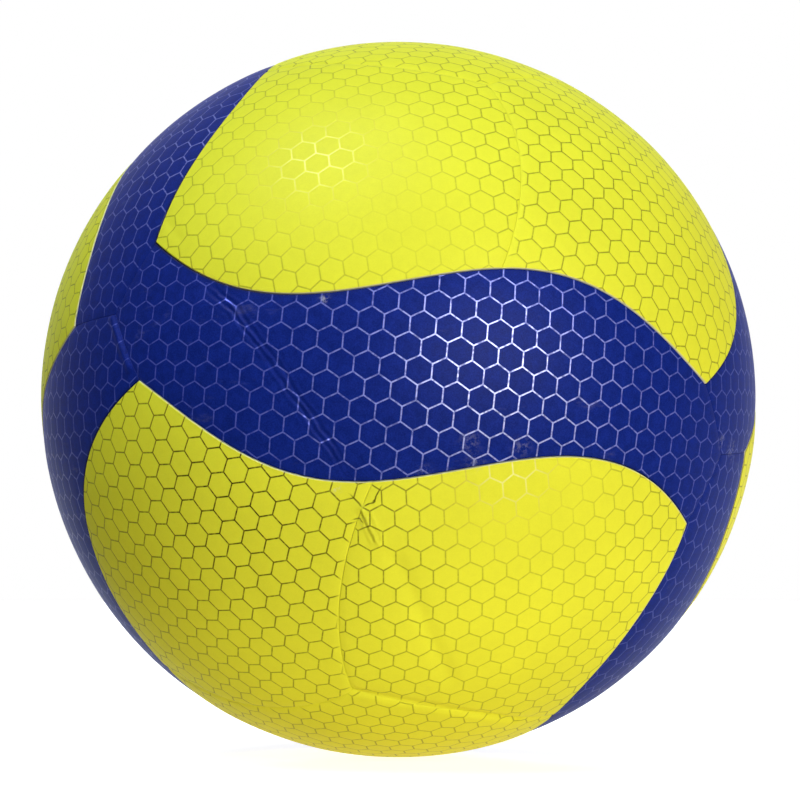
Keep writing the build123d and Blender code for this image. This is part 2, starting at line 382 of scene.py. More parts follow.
def on_ball(longitude, latitude):
    """Directions from the ball's centre, by longitude and latitude of the front band."""
    lon = np.radians(longitude)
    lat = np.radians(latitude)
    return np.stack([np.cos(lat) * np.sin(lon), -np.cos(lat) * np.cos(lon), np.sin(lat) + 0 * lon], axis=-1)


def turn_matrix(axis, degrees):
    """Rotation matrix about an axis through the ball's centre."""
    x, y, z = unit(np.asarray(axis, dtype=float))
    cross = np.array([[0, -z, y], [z, 0, -x], [-y, x, 0]])
    angle = math.radians(degrees)
    return np.eye(3) + math.sin(angle) * cross + (1 - math.cos(angle)) * cross @ cross


def turned(points, axis, degrees):
    """Points turned about an axis through the ball's centre."""
    return points @ turn_matrix(axis, degrees).T


BAND_CENTRE = np.array([0.0, -1.0, 0.0])
BAND_ALONG = np.array([1.0, 0.0, 0.0])
TOP_FACE = on_ball(0.0, AXIS_ANGLE)
LEFT_JUNCTION = on_ball(-AXIS_ANGLE, 0.0)
RIGHT_JUNCTION = on_ball(AXIS_ANGLE, 0.0)
ROLL = turn_matrix((0, 1, 0), PATTERN_ROLL)

BAND_TURNS = {
    "blue_front": np.eye(3),
    "blue_upper_left": turn_matrix(LEFT_JUNCTION, THIRD_TURN),
    "blue_lower_left": turn_matrix(LEFT_JUNCTION, -THIRD_TURN),
    "blue_upper_right": turn_matrix(RIGHT_JUNCTION, -THIRD_TURN),
    "blue_lower_right": turn_matrix(RIGHT_JUNCTION, THIRD_TURN),
    "blue_back": turn_matrix((1, 0, 1), 180.0),
}
FACE_TURNS = {
    "yellow_top": np.eye(3),
    "yellow_bottom": turn_matrix(BAND_CENTRE, 180.0),
    "yellow_left": turn_matrix(LEFT_JUNCTION, THIRD_TURN),
    "yellow_right": turn_matrix(RIGHT_JUNCTION, -THIRD_TURN),
}
YELLOW_TURNS = {
    f"{face}_{i + 1}": matrix @ turn_matrix(TOP_FACE, i * THIRD_TURN)
    for face, matrix in FACE_TURNS.items()
    for i in range(3)
}


def edge_latitude(longitude):
    """Latitude of the front band's upper edge."""
    return EDGE_LATITUDE + EDGE_SWING * np.sin(2 * np.pi * (longitude - EDGE_SHIFT) / EDGE_PERIOD)


def edge_at(longitude, lift):
    """Points on the front band's upper edge, raised by a small angle."""
    return on_ball(longitude, edge_latitude(longitude) + lift)


def crossing(side, low, high):
    """Longitude between low and high where the function side changes sign."""
    starts_negative = side(low) < 0
    while high - low > SEARCH_END:
        middle = (low + high) / 2
        if (side(middle) < 0) == starts_negative:
            low = middle
        else:
            high = middle
    return (low + high) / 2


def lon_lat(point):
    """Longitude and latitude of one direction on the front band."""
    return math.degrees(math.atan2(point[0], -point[1])), math.degrees(math.asin(point[2]))


def tip_longitude(lift):
    """Longitude where the edge runs into the next edge round the same yellow face."""

    def above_next_edge(longitude):
        lon, lat = lon_lat(turned(edge_at(longitude, lift), TOP_FACE, -THIRD_TURN))
        return lat - edge_latitude(lon) - lift

    return crossing(above_next_edge, AXIS_ANGLE - EDGE_PERIOD / 5, AXIS_ANGLE)


def start_longitude(lift):
    """Longitude where the edge begins, at the tip before it round the same yellow face."""
    tip = edge_at(tip_longitude(lift), lift)
    return lon_lat(turned(tip, TOP_FACE, -THIRD_TURN))[0]


def seam_longitude(junction, near, border, joint):
    """Longitude near a tip where the band's edge meets half a joint's width from the junction's seam."""
    normal = unit(np.cross(junction, edge_at(near, 0.0)))
    if normal @ BAND_CENTRE < 0:
        normal = -normal
    clear = math.sin(math.radians(joint))
    reach = EDGE_PERIOD / 20
    return crossing(lambda lon: normal @ edge_at(lon, -border) - clear, near - reach, near + reach)


def straight(start, end, t):
    """Points along the great circle from start to end."""
    return unit(start + t[:, None] * (end - start))


def bowed(start, middle, end, t):
    """Points along a shallow arc through three directions."""
    chord = start + t[:, None] * (end - start)
    bow = (middle - (start + end) / 2) * 4
    return unit(chord + (t * (1 - t))[:, None] * bow)


def set_back(point, towards, degrees):
    """A direction moved by an angle towards another one."""
    return turned(point, np.cross(point, towards), degrees)


def band_sides(border, joint):
    """The front band's lower, upper, left and right side, by a share of 0 to 1. Half gaps are in degrees."""
    setback = joint / math.sin(math.radians(THIRD_TURN / 2))
    first = seam_longitude(LEFT_JUNCTION, start_longitude(0.0), border, joint)
    last = seam_longitude(RIGHT_JUNCTION, tip_longitude(0.0), border, joint)
    left_corner = set_back(LEFT_JUNCTION, BAND_CENTRE, setback)
    right_corner = set_back(RIGHT_JUNCTION, BAND_CENTRE, setback)

    def upper(t):
        return edge_at(first + (last - first) * t, -border)

    def lower(t):
        return turned(upper(1 - t), BAND_CENTRE, 180.0)

    def end(corner, t, at):
        start, stop = lower(np.array([at]))[0], upper(np.array([at]))[0]
        low = straight(start, corner, np.clip(2 * t, 0, 1))
        high = straight(corner, stop, np.clip(2 * t - 1, 0, 1))
        return np.where((t < 0.5)[:, None], low, high)

    return lower, upper, lambda t: end(left_corner, t, 0.0), lambda t: end(right_corner, t, 1.0)


def yellow_sides(border, joint):
    """The first top panel's sides: near seam, far edge, far seam and near edge. Half gaps are in degrees."""
    setback = joint / math.sin(math.radians(THIRD_TURN / 2))
    tip = tip_longitude(border)
    start = start_longitude(border)

    def arc(side):
        foot = edge_at(SEAM_FOOT + side, border)
        chord_middle = unit(TOP_FACE + foot)
        return set_back(chord_middle, np.cross(TOP_FACE, foot), SEAM_BOW + side), foot

    near_middle, near_foot = arc(joint)
    far_middle, far_foot = (turned(p, TOP_FACE, THIRD_TURN) for p in arc(-joint))
    corner = set_back(TOP_FACE, turned(near_foot, TOP_FACE, THIRD_TURN / 2), setback)

    def near_edge(t):
        foot = SEAM_FOOT + joint
        return edge_at(foot + (tip - foot) * t, border)

    def far_edge(t):
        foot = SEAM_FOOT - joint
        return turned(edge_at(foot + (start - foot) * t, border), TOP_FACE, THIRD_TURN)

    return (
        lambda t: bowed(corner, near_middle, near_foot, t),
        far_edge,
        lambda t: bowed(corner, far_middle, far_foot, t),
        near_edge,
    )


def patch(sides, across, along):
    """Directions of a grid that fills four sides: bottom and top run across, left and right run along."""
    bottom, top, left, right = sides
    u = across[None, :, None]
    v = along[:, None, None]
    ends = np.array([0.0, 1.0])
    c00, c10 = bottom(ends)
    c01, c11 = top(ends)
    ruled_up = (1 - v) * bottom(across)[None] + v * top(across)[None]
    ruled_across = (1 - u) * left(along)[:, None] + u * right(along)[:, None]
    corners = (1 - u) * (1 - v) * c00 + u * (1 - v) * c10 + (1 - u) * v * c01 + u * v * c11
    return unit(ruled_up + ruled_across - corners)


def knots(length_mm, step_mm):
    """Places from 0 to 1 along a side, close together at both ends."""
    edge = np.array(EDGE_ROWS_MM)
    count = max(2, round((length_mm - 2 * edge[-1]) / step_mm))
    middle = np.linspace(edge[-1], length_mm - edge[-1], count + 1)[1:-1]
    return np.concatenate([edge, middle, (length_mm - edge)[::-1]]) / length_mm


def line_distance(points, line):
    """Distance in mm from each direction to a line, signed by its side, and the share of the line passed."""
    best = np.full(len(points), np.inf)
    side = np.ones(len(points))
    along = np.zeros(len(points))
    for i, (a, b) in enumerate(zip(line[:-1], line[1:])):
        way = b - a
        t = np.clip((points - a) @ way / (way @ way), 0, 1)
        away = ((points - a - t[:, None] * way) ** 2).sum(axis=1)
        closer = away < best
        side = np.where(closer, np.sign(points @ np.cross(a, b)), side)
        along = np.where(closer, (i + t) / (len(line) - 1), along)
        best = np.where(closer, away, best)
    return np.sqrt(best) * side * BALL_RADIUS / MM, along


def distance_mm(points, line):
    """Distance in mm on the ball from each direction to a line of directions."""
    return np.abs(line_distance(points, line)[0])


def nearest_line(points, lines):
    """Signed distance in mm to the nearest of some lines, and how strong that line is there."""
    best = np.full(len(points), FAR_MM)
    strength = np.zeros(len(points))
    for places, reach, strong in lines:
        away, along = line_distance(points, on_ball(*np.array(places).T))
        ends = np.clip(LINE_FADE * np.minimum(along, 1 - along) + LINE_END, 0, 1)
        fade = ends * np.exp(-((away / reach) ** 2))
        closer = np.abs(away) < np.abs(best)
        strength = np.where(closer, strong * fade, strength)
        best = np.where(closer, away, best)
    return best, strength


def flat_mm(points, centre, along):
    """Places of directions on a sheet unrolled from the panel's centre, in mm."""
    up = np.cross(centre, along)
    x, y = points @ along, points @ up
    angle = np.arccos(np.clip(points @ centre, -1, 1))
    scale = angle / np.maximum(np.hypot(x, y), TINY) * BALL_RADIUS / MM
    return np.stack([x * scale, y * scale], axis=-1)


def in_edit_mode(*steps):
    """Runs edit-mode steps on the active object."""
    bpy.ops.object.mode_set(mode="EDIT")
    for step in steps:
        step()
    bpy.ops.object.mode_set(mode="OBJECT")


def only(obj):
    """Makes one object the selected and active one."""
    bpy.ops.object.select_all(action="DESELECT")
    obj.select_set(True)
    bpy.context.view_layer.objects.active = obj


def write_values(mesh, name, values):
    """A value for each point of a mesh, under a name."""
    layer = mesh.attributes.get(name) or mesh.attributes.new(name=name, type="FLOAT", domain="POINT")
    layer.data.foreach_set("value", np.asarray(values, dtype=np.float32))


def read_values(mesh, name):
    """The values that write_values left on a mesh."""
    values = np.empty(len(mesh.vertices), dtype=np.float32)
    mesh.attributes[name].data.foreach_get("value", values)
    return values.astype(float)


def read_points(mesh):
    """The places of a mesh's points."""
    points = np.empty(len(mesh.vertices) * 3)
    mesh.vertices.foreach_get("co", points)
    return points.reshape(-1, 3)


def panel_blank(name, sides, size_mm, centre, along, cover):
    """One closed panel at its pattern's own place: a grid laid on the ball and thickened inwards."""
    across = knots(size_mm[0], cover.mesh_step / MM)
    up = knots(size_mm[1], cover.mesh_step / MM)
    bpy.ops.object.select_all(action="DESELECT")
    bpy.ops.mesh.primitive_grid_add(
        x_subdivisions=len(across) - 1, y_subdivisions=len(up) - 1, size=2, calc_uvs=False
    )
    blank = bpy.context.object
    blank.name = name
    mesh = blank.data
    place = (read_points(mesh) + 1) / 2
    column = np.rint(place[:, 0] * (len(across) - 1)).astype(int)
    row = np.rint(place[:, 1] * (len(up) - 1)).astype(int)
    points = patch(sides, across, up)[row, column]
    mesh.vertices.foreach_set("co", (points * BALL_RADIUS).ravel())

    t = np.linspace(0, 1, SIDE_SAMPLES + 1)
    gaps = [distance_mm(points, side(t)) for side in sides]
    for label, gap in zip(SIDE_LABELS, gaps):
        write_values(mesh, label, gap)

    corners = np.empty(len(mesh.loops), dtype=np.int32)
    mesh.loops.foreach_get("vertex_index", corners)
    flat = flat_mm(points, centre, along)
    mesh.uv_layers.new(name="honeycomb").data.foreach_set("uv", flat[corners].ravel())

    inner = 1 - cover.panel_thickness / BALL_RADIUS
    only(blank)
    in_edit_mode(
        lambda: bpy.ops.mesh.select_all(action="SELECT"),
        lambda: bpy.ops.mesh.extrude_region_move(TRANSFORM_OT_translate={"value": (0, 0, 0)}),
        lambda: bpy.ops.transform.resize(value=(inner, inner, inner), center_override=(0, 0, 0)),
    )
    picked = np.empty(len(mesh.vertices), dtype=bool)
    mesh.vertices.foreach_get("select", picked)
    write_values(mesh, "inner", picked)
    in_edit_mode(
        lambda: bpy.ops.mesh.select_all(action="SELECT"),
        lambda: bpy.ops.mesh.normals_make_consistent(inside=False),
    )
    return blank


def soft_lumps(points, size_mm, seed):
    """A smooth uneven value between about -1 and 1 at each direction."""
    reach = BALL_RADIUS / MM / size_mm
    return np.array([noise.noise(Vector(p) * reach + Vector((seed, seed, seed))) for p in points])


def crease_depth(points):
    """How deep the creases are at each direction of the pattern, in mm."""
    depth = np.zeros(len(points))
    for places, deep, wide in CREASES:
        line = on_ball(*np.array(places).T)
        depth += deep * np.exp(-((distance_mm(points, line) / wide) ** 2))
    return depth


def rounded(gap, radius):
    """How far a rounded edge lies below the surface, at a distance from the edge."""
    inside = np.clip(radius - gap, 0, radius)
    return radius - np.sqrt(radius**2 - inside**2)


def cover_height(points, border, joint, cover, node):
    """Radius of the cover's outside at each point, from its distance to the borders and joints in mm."""
    is_band = node in BAND_TURNS
    drop = np.maximum(rounded(border, cover.border_round / MM), rounded(joint, cover.joint_round / MM))
    drop += cover.border_dip / MM * np.exp(-((border * MM / cover.border_reach) ** 2))
    joint_dip = cover.joint_dip / MM * (BAND_JOINT_DEPTH if is_band else 1.0)
    drop += joint_dip * np.clip(1 - joint * MM / cover.joint_reach, 0, 1) ** VALLEY_CURVE
    drop += crease_depth(points)
    drop -= cover.swell / MM * soft_lumps(points, SWELL_SIZE_MM, SWELL_SEED)
    if is_band:
        drop += cover.blue_step / MM
    if node == "blue_back":
        from_valve = np.hypot(points[:, 0], points[:, 2]) * BALL_RADIUS
        from_hole = np.maximum(from_valve - cover.valve_hole / 2, 0)
        drop += cover.valve_dip / MM * np.exp(-((from_hole / (VALVE_DIP_REACH_MM * MM)) ** 2))
    return BALL_RADIUS - drop * MM


def with_spots(points, start, spots):
    """A value that starts the same everywhere and changes round some spots, within 0 and 1."""
    value = np.full(len(points), start)
    for longitude, latitude, reach, change in spots:
        away = np.degrees(np.arccos(np.clip(points @ on_ball(longitude, latitude), -1, 1)))
        value += change * np.exp(-((away / reach) ** 2))
    return np.clip(value, 0.0, 1.0)


def lay_sheet(mesh, sheet):
    """Turns and moves a panel's flat map to its place on the printed sheet."""
    rows, x, y = sheet
    turn = math.radians(rows)
    uv = np.empty(len(mesh.loops) * 2)
    layer = mesh.uv_layers["honeycomb"].data
    layer.foreach_get("uv", uv)
    flat = uv.reshape(-1, 2) - np.array([x, y])
    grid = flat @ np.array([[math.cos(turn), -math.sin(turn)], [math.sin(turn), math.cos(turn)]])
    layer.foreach_set("uv", grid.ravel())


def write_skin(mesh, points, inner, borders, seams, is_band):
    """Writes what the finish reads at each point: cut edge, foil, painted foil highlight, rubbing, ripples
    and cracks.
    """
    # The cut edge's width is painted light round spots: a wider pale strip on the yellow as a painted
    # highlight, a wider dark strip on the bands as painted shade in the gap.
    cut_mm = CUT_WIDEST_MM * with_spots(points, CUT_EDGE, BLUE_CUT_SHADE_SPOTS if is_band else YELLOW_CUT_LIGHT_SPOTS)
    rim = np.clip(1 - borders / np.maximum(cut_mm, CUT_NARROWEST_MM), 0, 1)
    if is_band:
        foil = BLUE_FOIL * np.clip(np.minimum(*seams) / BAND_END_FADE_MM, 0, 1)
        # Painted highlight on the foil lines, round spots.
        painted_gleam = with_spots(points, BLUE_PAINTED_GLEAM, BLUE_PAINTED_GLEAM_SPOTS)
    else:
        # The foil left on a yellow panel is painted light and shade: it fades round highlights and darkens
        # away from them.
        near, far = seams
        foil = with_spots(points, YELLOW_FOIL, YELLOW_FOIL_LIGHT_AND_SHADE_SPOTS)
        foil *= np.clip(near / NEAR_SEAM_FADE_MM, 0, 1) * np.clip(far / FAR_SEAM_FADE_MM, 0, 1)
        painted_gleam = with_spots(points, 0.0, YELLOW_PAINTED_GLEAM_SPOTS)
    mm_in_degrees = math.degrees(MM / BALL_RADIUS)
    rubbed_spots = [(lon, lat, reach * mm_in_degrees, most) for lon, lat, reach, most in RUBBED]
    ripple_mm, ripple = nearest_line(points, RIPPLES)
    crack_mm, crack_and_gap_shade = nearest_line(points, CRACKS)
    # Along the listed borders, painted shade in the gap takes the place of the shade in the cracks.
    at_border = borders < np.abs(crack_mm)
    values = {
        "rim": np.where(inner, 1.0, rim),
        "border_mm": borders,
        "foil": foil,
        "painted_gleam": painted_gleam,
        "rubbed": with_spots(points, 0.0, rubbed_spots),
        "ripple_mm": ripple_mm,
        "ripple": ripple,
        "crack_mm": np.where(at_border, borders, crack_mm),
        "crack_and_gap_shade": np.where(at_border, with_spots(points, 0.0, PAINTED_GAP_SHADE), crack_and_gap_shade),
    }
    for name, value in values.items():
        write_values(mesh, name, value)


def panel_copy(blank, node, matrix, material, cover):
    """One finished panel: the blank turned to its place, with its own creases, riding on the ball."""
    is_band = node in BAND_TURNS
    piece = blank.copy()
    piece.data = blank.data.copy()
    piece.name = f"cover_{node}"
    bpy.context.collection.objects.link(piece)
    mesh = piece.data
    points = unit(read_points(mesh)) @ matrix.T
    inner = read_values(mesh, "inner") > 0.5
    bottom, top, left, right = (read_values(mesh, label) for label in SIDE_LABELS)
    borders = np.minimum(bottom, top) if is_band else np.minimum(top, right)
    seams = (left, right) if is_band else (bottom, left)
    height = cover_height(points, borders, np.minimum(*seams), cover, node)
    radius = np.where(inner, BALL_RADIUS - cover.panel_thickness, height)
    mesh.vertices.foreach_set("co", (points @ ROLL.T * radius[:, None]).ravel())
    write_skin(mesh, points, inner, borders, seams, is_band)
    lay_sheet(mesh, SHEETS.get(node, BAND_SHEET if is_band else YELLOW_SHEET))
    for spare in (*SIDE_LABELS, "inner"):
        mesh.attributes.remove(mesh.attributes[spare])
    mesh.update()
    mesh.materials.clear()
    mesh.materials.append(material)
    only(piece)
    bpy.ops.object.shade_smooth_by_angle(angle=math.radians(SMOOTH_ANGLE))
    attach(piece, BODY)
    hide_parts(node)
    return piece


def drill_valve_hole(piece, diameter):
    """Cuts the valve's hole through the back band, to the same width as in the solids."""
    bpy.ops.object.select_all(action="DESELECT")
    bpy.ops.mesh.primitive_cylinder_add(
        vertices=HOLE_CUTTER_SIDES, radius=diameter / 2, depth=HOLE_CUTTER_LENGTH,
        location=(0, BALL_RADIUS, 0), rotation=(math.pi / 2, 0, 0),
    )
    cutter = bpy.context.object
    write_values(cutter.data, "rim", np.ones(len(cutter.data.vertices)))
    only(piece)
    cut = piece.modifiers.new("valve_hole", "BOOLEAN")
    cut.operation = "DIFFERENCE"
    cut.solver = "EXACT"
    cut.object = cutter
    bpy.ops.object.modifier_apply(modifier=cut.name)
    bpy.data.objects.remove(cutter)


class Wires:
    """Short words for adding nodes to one node tree and joining them."""

    def __init__(self, tree):
        self.tree = tree

    def add(self, kind, **settings):
        """A new node with its settings."""
        node = self.tree.nodes.new(kind)
        for name, value in settings.items():
            setattr(node, name, value)
        return node

    def put(self, socket, value):
        """Joins a socket to another one, or sets its value."""
        if isinstance(value, bpy.types.NodeSocket):
            self.tree.links.new(value, socket)
        elif value is not None:
            socket.default_value = value

    def math(self, operation, a, b=None):
        """A sum on one or two values."""
        node = self.add("ShaderNodeMath", operation=operation)
        for socket, value in zip(node.inputs, (a, b)):
            self.put(socket, value)
        return node.outputs[0]

    def vector(self, operation, a, b=None, c=None, scale=None):
        """A sum on vectors, which gives a vector or a value."""
        node = self.add("ShaderNodeVectorMath", operation=operation)
        for socket, value in zip(node.inputs, (a, b, c)):
            self.put(socket, value)
        if scale is not None:
            self.put(node.inputs["Scale"], scale)
        return node.outputs["Value"] if operation in ("DOT_PRODUCT", "LENGTH") else node.outputs["Vector"]

    def colour(self, factor, a, b):
        """A mix of two colours."""
        node = self.add("ShaderNodeMix", data_type="RGBA")
        self.put(node.inputs[0], factor)
        self.put(node.inputs[6], a)
        self.put(node.inputs[7], b)
        return node.outputs[2]

    def spread(self, value, low, high, to_low=0.0, to_high=1.0, smooth=True):
        """A value carried over from one range to another."""
        node = self.add("ShaderNodeMapRange", interpolation_type="SMOOTHSTEP" if smooth else "LINEAR")
        for socket, item in zip(node.inputs, (value, low, high, to_low, to_high)):
            self.put(socket, item)
        return node.outputs[0]

    def lumps(self, place, scale, detail=2.0, roughness=0.5):
        """An uneven value over a place, from 0 to 1."""
        node = self.add("ShaderNodeTexNoise")
        self.put(node.inputs["Vector"], place)
        self.put(node.inputs["Scale"], scale)
        self.put(node.inputs["Detail"], detail)
        self.put(node.inputs["Roughness"], roughness)
        return node.outputs["Fac"]

    def bump(self, height, distance, strength=1.0, normal=None):
        """A normal tilted by a height, on top of another normal where one is given."""
        node = self.add("ShaderNodeBump")
        self.put(node.inputs["Height"], height)
        self.put(node.inputs["Distance"], distance)
        self.put(node.inputs["Strength"], strength)
        self.put(node.inputs["Normal"], normal)
        return node.outputs[0]


def new_group(name, inputs, outputs):
    """A shader node group with named sockets, given as name, kind and default."""
    tree = bpy.data.node_groups.new(name, "ShaderNodeTree")
    for label, kind, default in inputs:
        socket = tree.interface.new_socket(name=label, in_out="INPUT", socket_type=kind)
        if default is not None:
            socket.default_value = default
    for label, kind in outputs:
        tree.interface.new_socket(name=label, in_out="OUTPUT", socket_type=kind)
    return tree, tree.nodes.new("NodeGroupInput").outputs, tree.nodes.new("NodeGroupOutput").inputs


def honeycomb_group():
    """Lines of a honeycomb on a flat sheet, broken a little where the foil is thin."""
    name = "honeycomb_lines"
    if name in bpy.data.node_groups:
        return bpy.data.node_groups[name]
    tree, given, out = new_group(
        name,
        [
            ("Grid", "NodeSocketVector", None),
            ("Place", "NodeSocketVector", None),
            ("Pitch", "NodeSocketFloat", 6.6),
            ("Width", "NodeSocketFloat", 0.4),
            ("Wear", "NodeSocketFloat", 0.4),
            ("Foil", "NodeSocketFloat", 1.0),
        ],
        [("Line", "NodeSocketFloat"), ("Groove", "NodeSocketFloat")],
    )
    w = Wires(tree)
    high = math.sqrt(3) / 2
    half, minus_half = (0.5, high, 1.0), (-0.5, -high, -1.0)
    cells = w.vector("SCALE", given["Grid"], scale=w.math("DIVIDE", 1.0, given["Pitch"]))
    one = w.vector("WRAP", cells, half, minus_half)
    two = w.vector("WRAP", w.vector("ADD", cells, (0.5, high, 0.0)), half, minus_half)
    nearer = w.math("LESS_THAN", w.vector("DOT_PRODUCT", one, one), w.vector("DOT_PRODUCT", two, two))
    away = w.vector("SCALE", w.vector("SUBTRACT", one, two), scale=nearer)
    spot = w.vector("ABSOLUTE", w.vector("ADD", two, away))
    parts = w.add("ShaderNodeSeparateXYZ")
    w.put(parts.inputs[0], spot)
    slant = w.vector("DOT_PRODUCT", spot, (0.5, high, 0.0))
    from_centre = w.math("MAXIMUM", parts.outputs[0], slant)
    gap = w.math("MULTIPLY", w.math("SUBTRACT", 0.5, from_centre), given["Pitch"])
    half_width = w.math("MULTIPLY", given["Width"], 0.5)
    inner = w.math("MULTIPLY", half_width, 0.7)
    outer = w.math("MULTIPLY", half_width, 1.3)
    line = w.spread(gap, inner, outer, 1.0, 0.0)
    thin = w.spread(w.lumps(given["Place"], 800.0, 3.0, 0.65), 0.36, 0.56)
    kept = w.math("SUBTRACT", 1.0, w.math("MULTIPLY", given["Wear"], w.math("SUBTRACT", 1.0, thin)))
    w.put(out["Line"], w.math("MULTIPLY", w.math("MULTIPLY", line, kept), given["Foil"]))
    w.put(out["Groove"], w.spread(gap, 0.0, w.math("MULTIPLY", half_width, 2.2), 1.0, 0.0))
    return tree


def grain_group():
    """Fine grain of a pressed synthetic skin, and slow changes of tone over it."""
    name = "skin_grain"
    if name in bpy.data.node_groups:
        return bpy.data.node_groups[name]
    tree, given, out = new_group(
        name,
        [("Place", "NodeSocketVector", None), ("Grain Scale", "NodeSocketFloat", 2600.0)],
        [("Height", "NodeSocketFloat"), ("Tone", "NodeSocketFloat"), ("Scuff", "NodeSocketFloat")],
    )
    w = Wires(tree)
    fine = w.lumps(given["Place"], given["Grain Scale"], 2.0, 0.6)
    coarse = w.lumps(given["Place"], 420.0, 3.0, 0.55)
    w.put(out["Height"], w.math("ADD", w.math("MULTIPLY", fine, 0.6), w.math("MULTIPLY", coarse, 0.4)))
    w.put(out["Tone"], w.lumps(given["Place"], 28.0, 3.0, 0.5))
    streaks = w.lumps(w.vector("MULTIPLY", given["Place"], (1.0, 1.0, 2.5)), 60.0, 6.0, 0.7)
    w.put(out["Scuff"], w.spread(streaks, 0.6, 0.8))
    return tree


def new_material(name):
    """An empty material with a Principled shader, its wires and its shader's inputs."""
    material = bpy.data.materials.new(name)
    material.use_nodes = True
    tree = material.node_tree
    tree.nodes.clear()
    w = Wires(tree)
    shader = w.add("ShaderNodeBsdfPrincipled")
    output = w.add("ShaderNodeOutputMaterial")
    tree.links.new(shader.outputs[0], output.inputs[0])
    return material, w, shader.inputs


def use_group(w, group, **values):
    """Places a node group and sets or joins its inputs, with spaces for underscores in their names."""
    node = w.add("ShaderNodeGroup", node_tree=group)
    for name, value in values.items():
        w.put(node.inputs[name.replace("_", " ")], value)
    return node.outputs


def point_value(w, name):
    """The value of a point attribute."""
    return w.add("ShaderNodeAttribute", attribute_name=name).outputs["Fac"]


def toned(colour, share, lift=0.0):
    """A colour made darker by a share, or paler by a lift."""
    return tuple(lift + share * c for c in colour[:3]) + (1.0,)


def foil_colour(w, painted_gleam, colours):
    """The colour of the foil lines, from dull over half to full painted highlight."""
    node = w.add("ShaderNodeValToRGB")
    w.put(node.inputs[0], painted_gleam)
    ramp = node.color_ramp
    ramp.elements.new(0.5)
    for element, colour in zip(ramp.elements, colours):
        element.color = colour
    return node.outputs[0]


def cover_material(name, skin, foil, edge, cover, look):
    """Synthetic skin with foil lines, painted foil highlight, cut edge, darker borders and painted shade in
    cracks.
    """
    material, w, shader = new_material(name)
    place = w.add("ShaderNodeTexCoord").outputs["Object"]
    grid = w.add("ShaderNodeUVMap", uv_map="honeycomb").outputs["UV"]
    comb = use_group(
        w, honeycomb_group(), Grid=grid, Place=place, Foil=point_value(w, "foil"),
        Pitch=look["pitch"] / MM, Width=cover.line_width / MM, Wear=look["wear"],
    )
    grain = use_group(w, grain_group(), Place=place)
    rim = point_value(w, "rim")
    border = point_value(w, "border_mm")

    slow = w.spread(grain["Tone"], 0.3, 0.7, 0.96, 1.03, smooth=False)
    quick = w.spread(grain["Height"], 0.35, 0.65, 1 - look["mottle"], 1 + look["mottle"], smooth=False)
    shade = w.vector("SCALE", tuple(skin[:3]), scale=w.math("MULTIPLY", slow, quick))
    # Darker towards the borders.
    border_darkening = w.spread(border, 0.1, 1.3, look["border_darkening"], 0.0)
    border_darkened = w.colour(border_darkening, shade, toned(skin, 0.4))
    scuffed = w.colour(w.math("MULTIPLY", grain["Scuff"], look["scuff"]), border_darkened, (0.45, 0.45, 0.5, 1.0))
    # The foil lines take their painted highlight colour from a point attribute.
    lined = w.colour(comb["Line"], scuffed, foil_colour(w, point_value(w, "painted_gleam"), foil))
    # Painted shade: darker along the cracks and in the gap along some borders.
    crack_gap = w.math("ABSOLUTE", point_value(w, "crack_mm"))
    crack_and_gap_shade = w.math("MULTIPLY", w.spread(crack_gap, 0.08, 0.3, 1.0, 0.0), point_value(w, "crack_and_gap_shade"))
    crack_shaded = w.colour(crack_and_gap_shade, lined, toned(skin, 0.12))
    patchy = w.spread(w.lumps(place, 700.0, 4.0, 0.7), 0.45, 0.62)
    pale = w.math("MULTIPLY", point_value(w, "rubbed"), patchy)
    rubbed = w.colour(pale, crack_shaded, toned(skin, 0.45, 0.45))
    w.put(shader["Base Color"], w.colour(rim, rubbed, tuple(edge)))

    dull = w.spread(grain["Height"], 0.3, 0.7, look["rough"] - 0.05, look["rough"] + 0.07, smooth=False)
    foil_rough = w.math("MULTIPLY", comb["Line"], look["foil_rough"] - look["rough"])
    w.put(shader["Roughness"], w.math("ADD", dull, foil_rough))
    w.put(shader["Metallic"], w.math("MULTIPLY", comb["Line"], look["metal"]))
    shader["Specular IOR Level"].default_value = look["shine"]

    pressed = w.math("MULTIPLY", comb["Groove"], -0.65)
    height = w.math("ADD", w.math("MULTIPLY", grain["Height"], 0.35), pressed)
    fine = w.bump(height, 0.00012, strength=0.35)
    uneven = w.lumps(place, 160.0, 2.0)
    wander = w.math("ADD", point_value(w, "ripple_mm"), w.spread(uneven, 0.0, 1.0, -1.2, 1.2, smooth=False))
    wave = w.math("COSINE", w.math("MULTIPLY", wander, 2 * math.pi / RIPPLE_PERIOD_MM))
    folds = w.math("MULTIPLY", wave, point_value(w, "ripple"))
    relief = w.math("SUBTRACT", folds, w.math("MULTIPLY", crack_and_gap_shade, 0.1))
    w.put(shader["Normal"], w.bump(relief, MM, normal=fine))
    return material


def rubber_material(name, colour, rough, grain_scale):
    """Moulded rubber with a fine grain and a bloom of paler dust."""
    material, w, shader = new_material(name)
    place = w.add("ShaderNodeTexCoord").outputs["Object"]
    grain = use_group(w, grain_group(), Place=place, Grain_Scale=grain_scale)
    pale = toned(colour, 0.7, 0.12)
    bloom = w.math("MULTIPLY", w.spread(grain["Tone"], 0.4, 0.75), 0.35)
    w.put(shader["Base Color"], w.colour(bloom, tuple(colour), pale))
    w.put(shader["Roughness"], w.spread(grain["Height"], 0.3, 0.7, rough - 0.08, rough + 0.1, smooth=False))
    w.put(shader["Normal"], w.bump(grain["Height"], 0.0001, strength=0.4))
    return material


